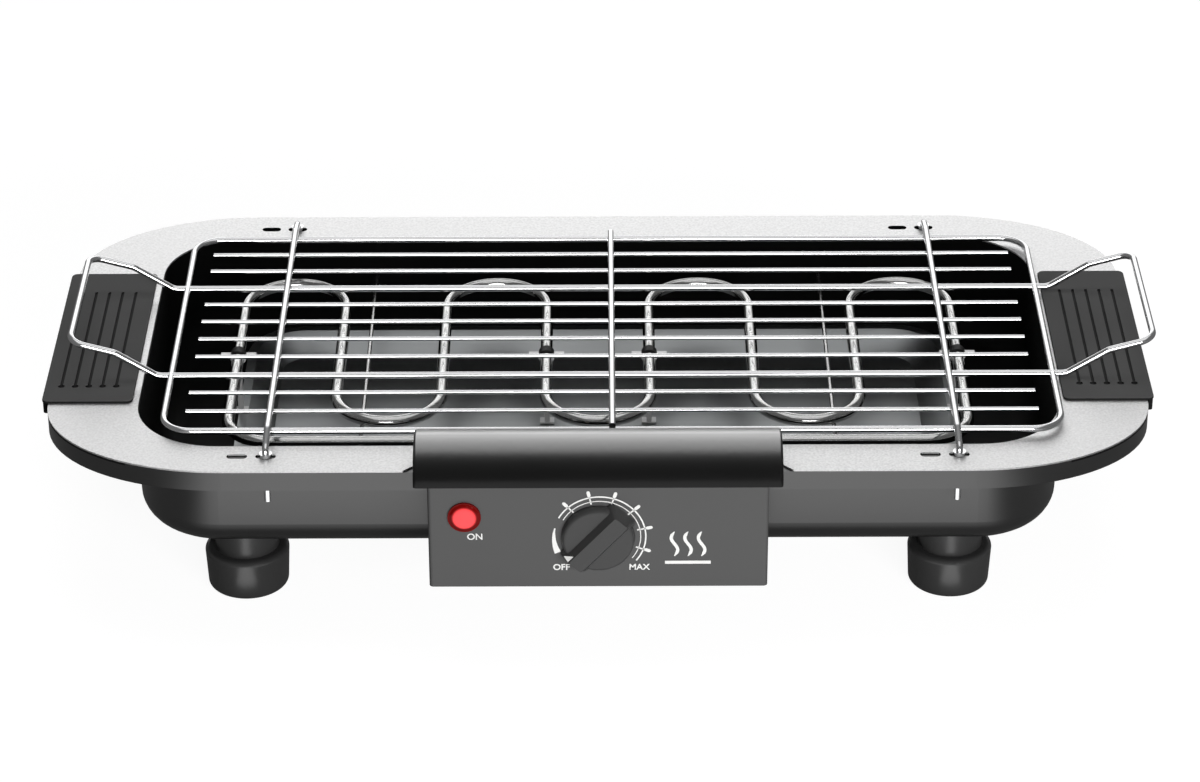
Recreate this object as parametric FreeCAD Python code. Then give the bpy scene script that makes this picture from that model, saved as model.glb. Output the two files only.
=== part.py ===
"""Table-top electric grill: a drawn steel tub with a stainless plate, a wire grid that stands in
slots, and a serpentine element that lifts out together with its control box.

Millimetres, +X to the right, +Y to the back, +Z up. The pieces are laid out about the middle of
the tub and moved at the end, so that the origin is under the middle of the whole grill.
"""
import FreeCAD, Part
import math
import os

Vec = FreeCAD.Vector

# Shared values
overrun = 2.0                  # how far a cutting tool reaches past what it cuts
running_clearance = 0.05       # shaft or pin in its own bore
seat_clearance = 0.3           # between pieces that come apart
join_tolerance = 1e-6
bezier_round_share = 0.5523    # handle length of a curve that follows a quarter ellipse
full_turn = 360.0
quarter_turn = 90.0

# Tub, flange and skirt, pressed from one painted sheet
shell_sheet = 1.0
tub_half_length = 217.0
tub_half_depth = 106.5
tub_corner_radius = 40.0
tub_depth = 54.7
tub_bottom_round = 14.0
flange_width_x = 42.0          # from the tub's end wall to the skirt
flange_width_y = 21.5          # from the tub's long wall to the skirt
flange_corner_x = 86.0         # reach of the flange's elliptical corners along each side
flange_corner_y = 63.0
skirt_height = 9.5
lead_gate_half_width = 40.0    # gate in the front wall for the element's two leads
lead_gate_depth = 23.0
lead_gate_round = 6.0

# Stainless plate on the flange
plate_sheet = 0.8
plate_lip_x = 0.5              # how far the plate reaches in over the tub's walls
plate_lip_y = 1.5
plate_opening_ease = 0.5       # how much tighter the opening's corners are than the tub's
notch_clearance = 0.5          # beside the hood in the plate, beside the box in the flange
notch_chamfer = 5.0
slot_length = 9.5
slot_width = 4.2
slot_pitch = 13.3              # the two slots of a pair
slot_pair_inset = 57.35        # from the tub's end wall
slot_gap = 7.9                 # from the tub's long wall

# Feet
foot_ring_radius = 20.0
foot_ring_taper = 0.8
foot_ring_height = 21.0
foot_round = 2.5
foot_neck_radius = 15.3
foot_neck_height = 14.5
foot_socket_radius = 9.0
foot_web = 5.0
foot_inset_x = 49.4            # from the tub's end wall
foot_inset_y = 30.8            # from the tub's long wall
foot_screw_radius = 2.0
foot_screw_head_radius = 4.5
foot_screw_head_height = 2.6
foot_screw_tip = 1.5

# Grip pads at the two ends
pad_inner_gap = 2.4            # from the tub's end wall
pad_end_gap = 63.5             # from the flange's long edges
pad_thickness = 1.2
pad_overhang = 3.2
pad_lip_drop = 7.0
pad_corner_round = 3.0
pad_edge_round = 0.5
groove_count = 5
groove_first = 9.0             # from the pad's inner edge to the first groove
groove_last = 7.8              # from the last groove to the pad's outer edge
groove_width = 1.4
groove_depth = 0.6
groove_front_inset = 14.5
groove_back_inset = 19.5
groove_pit_radius = 1.6
groove_pit_depth = 0.8
pad_boss_radius = 3.5
pad_boss_inset = 19.0          # from the pad's inner edge
pad_boss_end_inset = 12.5
pad_screw_radius = 1.6
pad_screw_head_radius = 5.0
pad_screw_head_height = 2.2
pad_screw_engagement = 0.5     # how far the screw reaches above the plate

# Reflector tray on the tub floor
tray_sheet = 0.6
tray_gap_x = 56.0              # from the tub's walls to the tray's flat floor
tray_gap_y = 28.0
tray_floor_round = 14.0
tray_height = 7.5
tray_flare_x = 13.0
tray_flare_y = 16.0
tray_rim_round = 24.0
tray_rim_width = 4.0

# Wires across the tub, under the element's front bends
support_wire_radius = 1.0
support_wire_x = 112.5

# Heating element
sheath_radius = 3.0
element_drop = 16.0            # below the plate's upper face
pass_count = 8
element_end_gap = 40.055       # from the tub's walls to the sheath's middle
element_back_gap = 20.5
element_front_gap = 50.5
lead_gap = 31.5
lead_x = 25.1
lead_corner_radius = 22.0
lead_exit_radius = 14.0
sheath_in_box = 8.0            # how far the sheath reaches in past the box's back plate
pin_radius = 1.5
pin_length = 10.0
pin_seal_radius = 2.4
pin_seal_length = 2.5

# Clips that carry the element on the tray's floor and rim
clip_sheet = 0.8
clip_width = 5.0
clip_wing_reach = 8.6
clip_post_width = 2.4
clip_foot_reach = 3.5
clip_y = 10.5
clip_passes = (0, 3, 4, 7)

# Control box
box_half_width = 77.7
box_depth = 36.0
box_height = 53.8
box_gap = 2.5                  # from the tub's front wall
box_wall = 2.0
box_edge_round = 2.0
box_boss_radius = 3.5
box_boss_inset = 5.7
box_boss_height_inset = 7.0
box_screw_radius = 1.5
box_screw_head_radius = 2.8
box_screw_head_height = 1.6
box_screw_length = 12.0

# Hood over the control box
hood_side_overhang = 6.3
hood_front_overhang = 2.0
hood_back_overhang = 1.0
hood_crest_setback = 20.0      # from the box's face
hood_lift = 2.0                # of its underside above the plate
hood_wall = 2.0
hood_edge_height = 1.2
hood_crest_height = 14.3       # of the crest above the straight edge
hood_window_inset = 5.0
hood_end_round = 1.5

# Hooks that hang the control box on the tub's front wall
hook_sheet = 1.2
hook_width = 14.0
hook_inset = 18.7              # from the box's side
hook_drop = 11.0
hook_leg = 30.0
hook_gap_inside = 1.1

# Ferrules that hold the leads in the back plate
ferrule_radius = 5.0
ferrule_flange_radius = 6.5
ferrule_flange = 1.5
ferrule_tail = 1.0

# Thermostat, shaft and knob
knob_drop = 27.0               # of its axis below the hood
thermostat_half_width = 16.0
thermostat_half_height = 14.0
thermostat_back_gap = 10.2     # from the back plate
thermostat_round = 3.0
thermostat_screw_x = 10.0
thermostat_screw_radius = 1.5
thermostat_screw_head_radius = 2.6
thermostat_screw_head_height = 1.4
thermostat_screw_length = 7.0
shaft_radius = 3.0
shaft_flat = 0.8
shaft_in_thermostat = 10.0
shaft_in_knob = 5.5
knob_gap = 1.0
knob_radius = 16.8
knob_disc_height = 3.2
knob_draft = 0.6
knob_disc_round = 2.2
knob_bar_half_width = 3.75
knob_bar_height = 3.8
knob_bar_point = 16.2
knob_bar_tail = 15.8
knob_bar_flare = 4.0           # how much wider a side of the bar is at its foot
knob_bar_end_flare = 2.2
knob_bar_round = 1.0
knob_bar_foot_round = 2.0
knob_off_angle = 228.0
knob_hollow_radius = 13.6
knob_hollow_depth = 1.4
knob_hub_radius = 6.0

# Indicator lamp
lamp_inset = 16.7              # from the box's side
lamp_drop = 16.2               # of its axis below the hood
lens_radius = 7.0
lens_rise = 1.8
lens_bezel_radius = 7.6
lens_bezel_height = 1.0
lamp_stem_radius = 5.4
lamp_body_radius = 5.5
lamp_back_gap = 17.0           # from the back plate
lamp_collar_radius = 7.0
lamp_collar_length = 3.0

# Safety switch and its plunger
switch_gap = 20.9              # from the right-hand lead
switch_half_width = 7.0
switch_depth = 14.0
switch_half_height = 6.5
plunger_radius = 2.0
plunger_drop = 4.2             # of its axis below the wall's top edge
plunger_head_radius = 3.4
plunger_head_length = 1.2
plunger_travel = 2.0
plunger_spare = 2.8            # room left before its head at full travel

# Terminal block
block_inset = 31.7             # from the box's side
block_half_width = 12.0
block_front_gap = 7.0
block_back_gap = 9.0
block_height = 12.0
block_way_count = 3
block_way_radius = 2.2
block_way_depth = 5.0

# Gland for the cord
gland_inset = 27.7             # from the box's side
gland_bore_radius = 4.0
gland_radius = 6.0
gland_flange_radius = 8.0
gland_flange = 1.6
gland_tail = 4.0

# Wires inside the box
hookup_radius = 1.2
hookup_bend = 2.5
hookup_back_gap = 6.3          # run behind the thermostat, from the back plate
hookup_pin_gap = 3.2           # run in front of the pins
hookup_low = 5.8               # run under the thermostat, above the box's floor
hookup_mid = 18.8              # run across the back, above the box's floor
hookup_high = 4.9              # run over the pins, below the box's top
hookup_side = 7.9              # run beside a pin
lamp_lead_half_spacing = 2.5
lamp_lead_steps = (6.8, 12.8)  # how far each lamp lead drops before it turns
lamp_lead_ways = (-1.0, -8.0)  # where each lamp lead enters the block, from its middle
thermostat_lead_drop = 2.0
supply_way = 8.0

# Wire grid
wire_radius = 1.6
thin_rod_radius = 1.05
grid_gap_x = 7.6               # inside the tub's outer walls
grid_gap_y = 10.0
grid_corner_radius = 14.0
rod_space_count = 11           # equal spaces between the frame's two long wires
thin_rod_gap = 10.1            # from a thin rod's end to the frame's wire
thin_rod_steps = (-4.5, -3.5, -1.5, -0.5, 0.5, 1.5, 3.5, 4.5)
thick_rod_step = 2.5
leg_bend_radius = 3.0
bar_knee_out = 2.0             # where a side bar starts to dip, outside the frame
bar_knee_radius = 8.0
bar_end_rise = 3.6             # of a side bar's ends above the plate
leg_drop = 23.5
leg_collar_radius = 3.0
leg_collar_height = 1.5
handle_lead = 6.6              # straight run out of the frame's wire
handle_knee_out = 19.6
handle_knee_rise = 12.6
handle_end_out = 21.0
handle_end_rise = 5.9
handle_knee_radius = 8.0
handle_corner_radius = 7.0

# Levels and places that follow from the sizes
tub_bottom_z = foot_ring_height + foot_neck_height
tub_floor_z = tub_bottom_z + shell_sheet
flange_top_z = tub_bottom_z + tub_depth
flange_under_z = flange_top_z - shell_sheet
plate_top_z = flange_top_z + plate_sheet
tub_inner_half_length = tub_half_length - shell_sheet
tub_inner_half_depth = tub_half_depth - shell_sheet
flange_half_length = tub_half_length + flange_width_x
flange_half_depth = tub_half_depth + flange_width_y
opening_half_length = tub_half_length - plate_lip_x
opening_half_depth = tub_half_depth - plate_lip_y
plate_opening_round = tub_corner_radius - plate_opening_ease
slot_pair_half_spacing = tub_half_length - slot_pair_inset
slot_y = tub_half_depth + slot_gap
foot_x = tub_half_length - foot_inset_x
foot_y = tub_half_depth - foot_inset_y
pad_length_x = flange_width_x + pad_overhang - pad_inner_gap
pad_half_depth = flange_half_depth - pad_end_gap
groove_pitch = (pad_length_x - groove_first - groove_last) / (groove_count - 1)
groove_front = -pad_half_depth + groove_front_inset
groove_back = pad_half_depth - groove_back_inset
pad_boss_y = pad_half_depth - pad_boss_end_inset
tray_floor_half_length = tub_inner_half_length - tray_gap_x
tray_floor_half_depth = tub_inner_half_depth - tray_gap_y
tray_floor_z = tub_floor_z + tray_sheet
tray_rim_z = tub_floor_z + tray_height
element_z = plate_top_z - element_drop
element_back_y = tub_inner_half_depth - element_back_gap
element_front_y = -tub_inner_half_depth + element_front_gap
lead_y = -tub_inner_half_depth + lead_gap
first_pass_x = -tub_inner_half_length + element_end_gap
pass_pitch = -2 * first_pass_x / (pass_count - 1)
hood_half_width = box_half_width + hood_side_overhang
hood_under_z = plate_top_z + hood_lift
hood_crest_z = hood_under_z + hood_edge_height + hood_crest_height
notch_half_width = hood_half_width + notch_clearance
box_notch_half_width = box_half_width + notch_clearance
box_back_y = -tub_half_depth - box_gap
box_face_y = box_back_y - box_depth
box_bottom_z = hood_under_z - box_height
hood_front_y = box_face_y - hood_front_overhang
hood_back_y = box_back_y + hood_back_overhang
hood_crest_y = box_face_y + hood_crest_setback
box_front_in_y = box_face_y + box_wall
box_back_in_y = box_back_y - box_wall
box_floor_z = box_bottom_z + box_wall
sheath_end_y = box_back_in_y - sheath_in_box
pin_end_y = sheath_end_y - pin_length
plunger_z = flange_top_z - plunger_drop
plunger_tail = plunger_head_length + plunger_travel + plunger_spare
thermostat_back_y = box_back_in_y - thermostat_back_gap
thermostat_depth = thermostat_back_y - box_front_in_y
knob_z = hood_under_z - knob_drop
lamp_x = -box_half_width + lamp_inset
lamp_z = hood_under_z - lamp_drop
lamp_back_y = box_back_in_y - lamp_back_gap
hook_x = box_half_width - hook_inset
switch_x = lead_x + switch_gap
block_x = -box_half_width + block_inset
block_front_y = box_front_in_y + block_front_gap
block_back_y = box_back_in_y - block_back_gap
gland_x = box_half_width - gland_inset
gland_y = (box_face_y + box_back_y) / 2
grid_x = slot_pitch / 2        # the grid stands in the right-hand slot of each pair
grid_half_length = tub_half_length - grid_gap_x
grid_half_depth = tub_half_depth - grid_gap_y
rod_pitch = 2 * grid_half_depth / rod_space_count
thin_rod_half_length = grid_half_length - thin_rod_gap
handle_start = grid_half_length + handle_lead
frame_wire_z = plate_top_z + pad_thickness + seat_clearance + wire_radius
cross_bar_z = frame_wire_z + 2 * wire_radius
thin_rod_z = cross_bar_z - wire_radius - thin_rod_radius
thick_rod_y = thick_rod_step * rod_pitch


def outline_of_corners(corner_curve, half_x, half_y, reach_x, reach_y, z):
    """Closed wire of four straight sides and a quarter of the given curve at each corner."""
    edges = []
    ends = []
    for turn, (side_x, side_y) in enumerate(((1, 1), (-1, 1), (-1, -1), (1, -1))):
        centre = Vec(side_x * (half_x - reach_x), side_y * (half_y - reach_y), z)
        arc = Part.Arc(corner_curve(centre), math.radians(turn * quarter_turn),
                       math.radians((turn + 1) * quarter_turn))
        ends.append((arc.StartPoint, arc.EndPoint))
        edges.append(arc.toShape())
    for index, (start, end) in enumerate(ends):
        following = ends[(index + 1) % len(ends)][0]
        if end.distanceToPoint(following) > join_tolerance:
            edges.append(Part.LineSegment(end, following).toShape())
    return Part.Wire(Part.__sortEdges__(edges))


def rounded_outline(half_x, half_y, radius, z):
    radius = min(radius, half_x, half_y)

    def corner(centre):
        return Part.Circle(centre, Vec(0, 0, 1), radius)

    return outline_of_corners(corner, half_x, half_y, radius, radius, z)


def rounded_slab(half_x, half_y, radius, low_z, high_z):
    face = Part.Face(rounded_outline(half_x, half_y, radius, low_z))
    return face.extrude(Vec(0, 0, high_z - low_z))


def flange_slab(inset, low_z, high_z):
    """Slab of the flange's outline, whose corners are quarter ellipses."""
    reach_x = flange_corner_x - inset
    reach_y = flange_corner_y - inset

    def corner(centre):
        return Part.Ellipse(centre, reach_x, reach_y)

    outline = outline_of_corners(corner, flange_half_length - inset, flange_half_depth - inset,
                                 reach_x, reach_y, low_z)
    return Part.Face(outline).extrude(Vec(0, 0, high_z - low_z))


def block(low_x, high_x, low_y, high_y, low_z, high_z):
    return Part.makeBox(high_x - low_x, high_y - low_y, high_z - low_z, Vec(low_x, low_y, low_z))


def post(radius, x, y, low_z, high_z):
    return Part.makeCylinder(radius, high_z - low_z, Vec(x, y, low_z))


def stem(radius, x, z, low_y, high_y):
    """Cylinder along Y."""
    return Part.makeCylinder(radius, high_y - low_y, Vec(x, low_y, z), Vec(0, 1, 0))


def merged(pieces):
    """One solid of pieces that touch or overlap."""
    return pieces[0].fuse(pieces[1:]).removeSplitter()


def without(shape, tools):
    return shape.cut(tools) if tools else shape


def mirrored_x(shape, x=0.0):
    return shape.mirror(Vec(x, 0, 0), Vec(1, 0, 0))


def edges_where(shape, test):
    return [edge for edge in shape.Edges if test(edge.BoundBox)]


def revolved(outline, axis_point, axis):
    """Full turn of a closed list of edges about an axis."""
    return Part.Face(Part.Wire(outline)).revolve(axis_point, axis, full_turn)


def bent_path(points, radii):
    """Wire of straight runs joined by arcs, one radius for each inner corner."""
    edges = []
    start = points[0]
    for before, here, after, radius in zip(points, points[1:], points[2:], radii):
        into = (here - before).normalize()
        out = (after - here).normalize()
        half_turn = into.getAngle(out) / 2
        reach = radius * math.tan(half_turn)
        inward = (out - into).normalize()
        middle = here + inward * radius * (1 / math.cos(half_turn) - 1)
        bend_start = here - into * reach
        if start.distanceToPoint(bend_start) > join_tolerance:
            edges.append(Part.LineSegment(start, bend_start).toShape())
        start = here + out * reach
        edges.append(Part.Arc(bend_start, middle, start).toShape())
    edges.append(Part.LineSegment(start, points[-1]).toShape())
    return Part.Wire(Part.__sortEdges__(edges))


def bent_rod(points, radii, rod_radius):
    """Round rod along straight runs and arcs."""
    path = bent_path(points, radii)
    heading = points[1] - points[0]
    section = Part.Wire(Part.Circle(points[0], heading, rod_radius).toShape())
    return path.makePipeShell([section], True, False)


def ring_rod(points, radii, rod_radius):
    """Closed loop of round rod, swept in two halves that meet face to face."""
    start = (points[0] + points[-1]) / 2
    half = len(points) // 2
    across = (points[half - 1] + points[half]) / 2
    first = bent_rod([start] + points[:half] + [across], radii[:half], rod_radius)
    second = bent_rod([across] + points[half:] + [start], radii[half:], rod_radius)
    return merged([first, second])


def slot_tools(widening, low_z, high_z):
    """Cutters for the eight slots that take the grid's legs."""
    tools = []
    for pair in (-1, 1):
        for step in (-1, 1):
            for side in (-1, 1):
                x = pair * slot_pair_half_spacing + step * slot_pitch / 2
                half_x = slot_length / 2 + widening
                half_y = slot_width / 2 + widening
                tool = rounded_slab(half_x, half_y, half_y, low_z, high_z)
                tools.append(tool.translated(Vec(x, side * slot_y, 0)))
    return tools


def notch_tool(back_y, low_z, high_z):
    """Cutter for the plate's front notch, with its chamfered mouth."""
    front_y = -flange_half_depth
    mouth = notch_half_width + notch_chamfer
    half = [
        Vec(notch_half_width, back_y, low_z),
        Vec(notch_half_width, front_y + notch_chamfer, low_z),
        Vec(mouth, front_y, low_z),
        Vec(mouth, front_y - overrun, low_z),
    ]
    other = [Vec(-point.x, point.y, point.z) for point in reversed(half)]
    outline = Part.makePolygon(half + other + [half[0]])
    return Part.Face(outline).extrude(Vec(0, 0, high_z - low_z))


def pad_boss_places():
    inner_x = flange_half_length + pad_overhang - pad_length_x
    x = inner_x + pad_boss_inset
    return [(side * x, end * pad_boss_y) for side in (-1, 1) for end in (-1, 1)]


def foot_places():
    return [(side * foot_x, end * foot_y) for end in (-1, 1) for side in (-1, 1)]


def body_shell():
    skirt_low = flange_top_z - skirt_height
    cap = flange_slab(0, skirt_low, flange_top_z)
    hollow = flange_slab(shell_sheet, skirt_low - overrun, flange_under_z)
    tub = tub_form(0, tub_bottom_z, flange_top_z)
    inside = tub_form(shell_sheet, tub_floor_z, flange_top_z + overrun)
    gate = rounded_slab(lead_gate_half_width, lead_gate_depth, lead_gate_round, 0, overrun * 2)
    gate.rotate(Vec(0, 0, 0), Vec(1, 0, 0), quarter_turn)
    gate.translate(Vec(0, -tub_inner_half_depth + overrun / 2, flange_top_z))
    notch = block(-box_notch_half_width, box_notch_half_width, -flange_half_depth - overrun,
                  -tub_half_depth, skirt_low - overrun, flange_top_z + overrun)
    tools = [inside, gate, notch]
    tools += slot_tools(seat_clearance, flange_under_z - overrun, flange_top_z + overrun)
    for x, y in pad_boss_places():
        tools.append(post(pad_boss_radius + running_clearance, x, y,
                          flange_under_z - overrun, flange_top_z + overrun))
    for x, y in foot_places():
        tools.append(post(foot_screw_radius + running_clearance, x, y,
                          tub_bottom_z - overrun, tub_floor_z + overrun))
    return without(merged([without(cap, [hollow]), tub]), tools)


def tub_form(inset, low_z, high_z):
    """The tub's outer or inner form, with a rounded bottom edge."""
    form = rounded_slab(tub_half_length - inset, tub_half_depth - inset,
                        tub_corner_radius - inset, low_z, high_z)
    bottom = edges_where(form, lambda box: box.ZMax < low_z + join_tolerance)
    return form.makeFillet(tub_bottom_round - inset, bottom)


def top_plate():
    plate = flange_slab(0, flange_top_z, plate_top_z)
    low, high = flange_top_z - overrun, plate_top_z + overrun
    tools = [rounded_slab(opening_half_length, opening_half_depth, plate_opening_round, low, high)]
    tools.append(notch_tool(-opening_half_depth + overrun, low, high))
    tools += slot_tools(0, low, high)
    for x, y in pad_boss_places():
        tools.append(post(pad_boss_radius + running_clearance, x, y, low, high))
    return without(plate, tools)


def handle_pad():
    """The right-hand grip pad; the left one is its mirror image."""
    outer_x = flange_half_length + pad_overhang
    inner_x = outer_x - pad_length_x
    top_z = plate_top_z + pad_thickness
    middle_x = (outer_x + inner_x) / 2
    slab = rounded_slab(pad_length_x / 2, pad_half_depth, pad_corner_round, plate_top_z, top_z)
    slab = slab.translated(Vec(middle_x, 0, 0))
    lip_half = (pad_overhang - running_clearance) / 2
    lip = rounded_slab(lip_half, pad_half_depth - pad_corner_round, lip_half,
                       plate_top_z - pad_lip_drop, plate_top_z)
    pad = merged([slab, lip.translated(Vec(outer_x - lip_half, 0, 0))])
    rim = edges_where(pad, lambda box: box.ZMin > top_z - join_tolerance)
    pad = pad.makeFillet(pad_edge_round, rim)
    tools = []
    for index in range(groove_count):
        x = inner_x + groove_first + index * groove_pitch
        groove_half = (groove_back - groove_front) / 2
        groove = rounded_slab(groove_width / 2, groove_half, groove_width / 2,
                              top_z - groove_depth, top_z + overrun)
        tools.append(groove.translated(Vec(x, groove_front + groove_half, 0)))
        tools.append(post(groove_pit_radius, x, groove_front, top_z - groove_pit_depth,
                          top_z + overrun))
    pad = without(pad, tools)
    bosses = []
    holes = []
    for x, y in pad_boss_places():
        if x > 0:
            bosses.append(post(pad_boss_radius, x, y, flange_under_z, plate_top_z))
            holes.append(post(pad_screw_radius + running_clearance, x, y,
                              flange_under_z - overrun, plate_top_z + pad_screw_engagement))
    return without(merged([pad] + bosses), holes)


def handle_pad_screws():
    screws = []
    for x, y in pad_boss_places():
        head = post(pad_screw_head_radius, x, y, flange_under_z - pad_screw_head_height,
                    flange_under_z)
        shank = post(pad_screw_radius, x, y, flange_under_z,
                     plate_top_z + pad_screw_engagement - running_clearance)
        screws.append(merged([head, shank]))
    return Part.makeCompound(screws)


def foot(x, y):
    """Stepped foot, turned about its own axis."""
    socket_top = foot_ring_height + foot_neck_height - foot_web
    hole = foot_screw_radius + running_clearance
    ring_low = foot_ring_radius - foot_ring_taper
    corner_share = 1 - math.sqrt(0.5)

    def at(radius, z):
        return Vec(x + radius, y, z)

    top_arc = Part.Arc(
        at(foot_ring_radius - foot_round, foot_ring_height),
        at(foot_ring_radius - foot_round * corner_share, foot_ring_height - foot_round * corner_share),
        at(foot_ring_radius, foot_ring_height - foot_round))
    low_arc = Part.Arc(
        at(ring_low, foot_round),
        at(ring_low - foot_round * corner_share, foot_round * corner_share),
        at(ring_low - foot_round, 0))
    runs = [
        (at(hole, tub_bottom_z), at(foot_neck_radius, tub_bottom_z)),
        (at(foot_neck_radius, tub_bottom_z), at(foot_neck_radius, foot_ring_height)),
        (at(foot_neck_radius, foot_ring_height), top_arc.StartPoint),
        (top_arc.EndPoint, low_arc.StartPoint),
        (low_arc.EndPoint, at(foot_socket_radius, 0)),
        (at(foot_socket_radius, 0), at(foot_socket_radius, socket_top)),
        (at(foot_socket_radius, socket_top), at(hole, socket_top)),
        (at(hole, socket_top), at(hole, tub_bottom_z)),
    ]
    edges = [Part.LineSegment(start, end).toShape() for start, end in runs]
    edges += [top_arc.toShape(), low_arc.toShape()]
    return revolved(Part.__sortEdges__(edges), Vec(x, y, 0), Vec(0, 0, 1))


def foot_screws():
    screws = []
    seat_z = foot_ring_height + foot_neck_height - foot_web
    for x, y in foot_places():
        head = post(foot_screw_head_radius, x, y, seat_z - foot_screw_head_height, seat_z)
        shank = post(foot_screw_radius, x, y, seat_z, tub_floor_z + foot_screw_tip)
        screws.append(merged([head, shank]))
    return Part.makeCompound(screws)


def tray_form(inset, low_z, high_z):
    """Flared basin between the floor outline and the rim outline."""
    floor = rounded_outline(tray_floor_half_length - inset, tray_floor_half_depth - inset,
                            tray_floor_round, low_z)
    rim = rounded_outline(tray_floor_half_length + tray_flare_x - inset,
                          tray_floor_half_depth + tray_flare_y - inset, tray_rim_round, high_z)
    return Part.makeLoft([floor, rim], True, True)


def reflector_tray():
    basin = tray_form(0, tub_floor_z, tray_rim_z)
    lip = rounded_slab(tray_floor_half_length + tray_flare_x + tray_rim_width,
                       tray_floor_half_depth + tray_flare_y + tray_rim_width,
                       tray_rim_round + tray_rim_width, tray_rim_z - tray_sheet, tray_rim_z)
    return without(merged([basin, lip]), [tray_form(tray_sheet, tray_floor_z, tray_rim_z)])


def support_wire(side):
    level = element_z - sheath_radius - seat_clearance - support_wire_radius
    return stem(support_wire_radius, side * support_wire_x, level,
                -tub_inner_half_depth, tub_inner_half_depth)


def element_route():
    """Corner points and bend radii, from the left lead's end to the right lead's end."""
    points = [(-lead_x, sheath_end_y), (-lead_x, lead_y), (first_pass_x, lead_y)]
    radii = [lead_exit_radius, lead_corner_radius]
    for index in range(pass_count - 1):
        bend_y = element_front_y if index % 2 else element_back_y
        x = first_pass_x + index * pass_pitch
        points += [(x, bend_y), (x + pass_pitch, bend_y)]
        radii += [pass_pitch / 2, pass_pitch / 2]
    points += [(-first_pass_x, lead_y), (lead_x, lead_y), (lead_x, sheath_end_y)]
    radii += [lead_corner_radius, lead_exit_radius]
    return [Vec(x, y, element_z) for x, y in points], radii


def heating_element():
    points, radii = element_route()
    return bent_rod(points, radii, sheath_radius)


def element_pins():
    pins = []
    for x in (-lead_x, lead_x):
        seal = stem(pin_seal_radius, x, element_z, sheath_end_y - pin_seal_length, sheath_end_y)
        pin = stem(pin_radius, x, element_z, pin_end_y, sheath_end_y)
        pins.append(merged([seal, pin]))
    return Part.makeCompound(pins)


def element_supports():
    clips = []
    hole = sheath_radius + running_clearance
    low_y, high_y = clip_y - clip_width / 2, clip_y + clip_width / 2
    for index in clip_passes:
        x = first_pass_x + index * pass_pitch
        over_floor = abs(x) + clip_foot_reach < tray_floor_half_length
        foot_z = (tray_floor_z if over_floor else tray_rim_z) + seat_clearance
        band = stem(hole + clip_sheet, x, element_z, low_y, high_y)
        wings = block(x - clip_wing_reach, x + clip_wing_reach, low_y, high_y,
                      element_z - clip_sheet / 2, element_z + clip_sheet / 2)
        leg = block(x - clip_post_width / 2, x + clip_post_width / 2, low_y, high_y,
                    foot_z, element_z)
        sole = block(x - clip_foot_reach, x + clip_foot_reach, low_y, high_y,
                     foot_z, foot_z + clip_sheet)
        clip = merged([band, wings, leg, sole])
        clips.append(without(clip, [stem(hole, x, element_z, low_y - overrun, high_y + overrun)]))
    return Part.makeCompound(clips)


def box_boss_places():
    low = box_bottom_z + box_boss_height_inset
    high = hood_under_z - box_boss_height_inset
    x = box_half_width - box_boss_inset
    return [(side * x, z) for side in (-1, 1) for z in (low, high)]


def control_box_shell():
    outer = block(-box_half_width, box_half_width, box_face_y, box_back_y,
                  box_bottom_z, hood_under_z)
    front = edges_where(outer, lambda box: box.YMax < box_face_y + join_tolerance
                        and box.ZMax - box.ZMin > box_wall)
    outer = outer.makeFillet(box_edge_round, front)
    inner = block(-box_half_width + box_wall, box_half_width - box_wall, box_front_in_y,
                  box_back_y + overrun, box_floor_z, hood_under_z + overrun)
    bosses = [stem(box_boss_radius, x, z, box_front_in_y, box_back_in_y)
              for x, z in box_boss_places()]
    low_y, high_y = box_face_y - overrun, box_front_in_y + overrun
    tools = [stem(shaft_radius + seat_clearance, 0, knob_z, low_y, high_y)]
    tools.append(stem(lamp_stem_radius + running_clearance, lamp_x, lamp_z, low_y, high_y))
    for x in (-thermostat_screw_x, thermostat_screw_x):
        tools.append(stem(thermostat_screw_radius + running_clearance, x, knob_z, low_y, high_y))
    tools.append(post(gland_radius + running_clearance, gland_x, gland_y,
                      box_bottom_z - overrun, box_floor_z + overrun))
    for x, z in box_boss_places():
        tools.append(stem(box_screw_radius + running_clearance, x, z,
                          box_back_y - box_screw_length, box_back_y + overrun))
    return without(merged([without(outer, [inner])] + bosses), tools)


def control_box_back():
    half = box_half_width - box_wall
    plate = block(-half, half, box_back_in_y, box_back_y, box_floor_z, hood_under_z)
    low_y, high_y = box_back_in_y - overrun, box_back_y + overrun
    tools = [stem(ferrule_radius + running_clearance, x, element_z, low_y, high_y)
             for x in (-lead_x, lead_x)]
    tools.append(stem(plunger_radius + running_clearance, switch_x, plunger_z, low_y, high_y))
    for x, z in box_boss_places():
        tools.append(stem(box_screw_radius + running_clearance, x, z, low_y, high_y))
    return without(plate, tools)


def box_screws():
    screws = []
    for x, z in box_boss_places():
        head = stem(box_screw_head_radius, x, z, box_back_y, box_back_y + box_screw_head_height)
        shank = stem(box_screw_radius, x, z,
                     box_back_y - box_screw_length + running_clearance, box_back_y)
        screws.append(merged([head, shank]))
    return Part.makeCompound(screws)


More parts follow.
